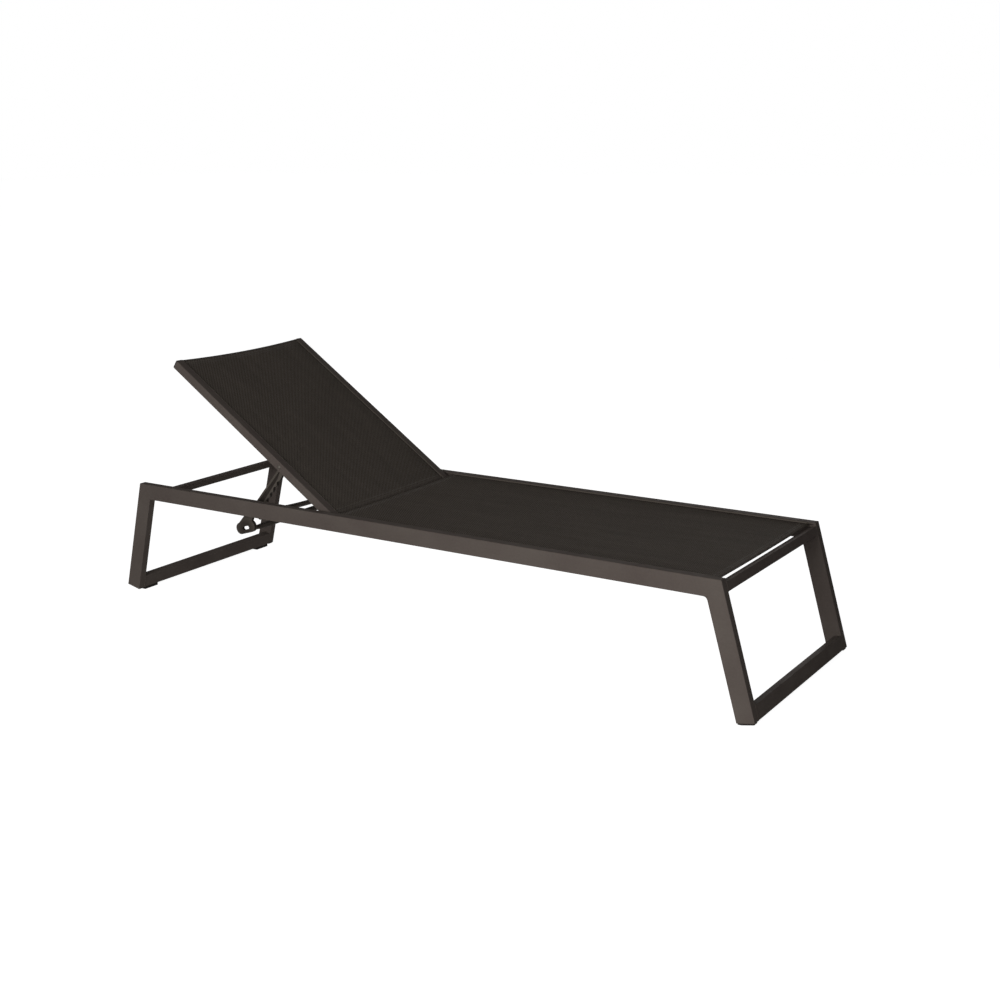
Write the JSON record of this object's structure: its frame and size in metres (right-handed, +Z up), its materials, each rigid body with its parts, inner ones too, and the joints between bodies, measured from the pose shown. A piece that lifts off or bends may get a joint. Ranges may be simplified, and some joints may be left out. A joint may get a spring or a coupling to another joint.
{
  "type": "reclining sun lounger",
  "caption": "Low sun lounger with splayed tube legs, tensioned mesh slings and a backrest held at its angle by a pair of notched support arms.",
  "frame": {"origin": "on the ground, under the middle of the lounger's length and width", "axes": "+X towards the foot end, +Y towards the left side of a person lying on it, +Z up"},
  "size_m": [2.04, 0.6, 0.7118],
  "materials": {
    "frame_coating": "satin brown powder coating",
    "sling_mesh": "woven coated yarn, open mesh",
    "grey_plastic": "moulded nylon, fine grain",
    "stainless_steel": "turned"
  },
  "bodies": {
    "frame": {"side_rail_left": "frame_coating", "side_rail_right": "frame_coating", "head_leg_left": "frame_coating", "head_leg_right": "frame_coating", "foot_leg_left": "frame_coating", "foot_leg_right": "frame_coating", "head_bottom_bar": "frame_coating", "foot_bottom_bar": "frame_coating", "head_top_bar": "frame_coating", "foot_top_bar": "frame_coating", "catch_bar_tube": "frame_coating", "seat_spreader_head": "frame_coating", "seat_spreader_middle": "frame_coating", "seat_spreader_foot": "frame_coating", "seat_sling": "sling_mesh", "seat_welt_left": "sling_mesh", "seat_welt_right": "sling_mesh", "hinge_insert_left": "stainless_steel", "hinge_insert_right": "stainless_steel", "hinge_bolt_left": "stainless_steel", "hinge_bolt_right": "stainless_steel", "hinge_spacer_left": "grey_plastic", "hinge_spacer_right": "grey_plastic", "head_glide_left": "grey_plastic", "head_glide_right": "grey_plastic", "foot_glide_left": "grey_plastic", "foot_glide_right": "grey_plastic", "head_leg_plug_left": "grey_plastic", "head_leg_plug_right": "grey_plastic"},
    "backrest": {"back_tube_left": "frame_coating", "back_tube_right": "frame_coating", "back_top_bar": "frame_coating", "back_bottom_bar": "frame_coating", "back_sling": "sling_mesh", "back_welt_left": "sling_mesh", "back_welt_right": "sling_mesh", "back_cap_left": "grey_plastic", "back_cap_right": "grey_plastic", "back_tail_plug_left": "grey_plastic", "back_tail_plug_right": "grey_plastic", "hinge_bush_left": "grey_plastic", "hinge_bush_right": "grey_plastic", "arm_bolt_left": "stainless_steel", "arm_bolt_right": "stainless_steel", "arm_washer_left": "stainless_steel", "arm_washer_right": "stainless_steel", "arm_nut_left": "stainless_steel", "arm_nut_right": "stainless_steel"},
    "support_arms": {"support_arm_left": "grey_plastic", "support_arm_right": "grey_plastic", "grip_rod": "frame_coating"}
  },
  "joints": [
    {"name": "backrest_recline", "type": "hinge", "parent": "frame", "child": "backrest", "pos_m": [-0.2372, 0, 0.323], "axis": [0, 1, 0], "range_deg": [-34.4, 0]},
    {"name": "support_arm_fold", "type": "hinge", "parent": "backrest", "child": "support_arms", "pos_m": [-0.41457, 0, 0.44203], "axis": [0, 1, 0], "range_deg": [0, 79.81]}
  ],
  "couplings": [
    {"joint": "support_arm_fold", "follows": "backrest_recline", "ratio": -2.32}
  ]
}
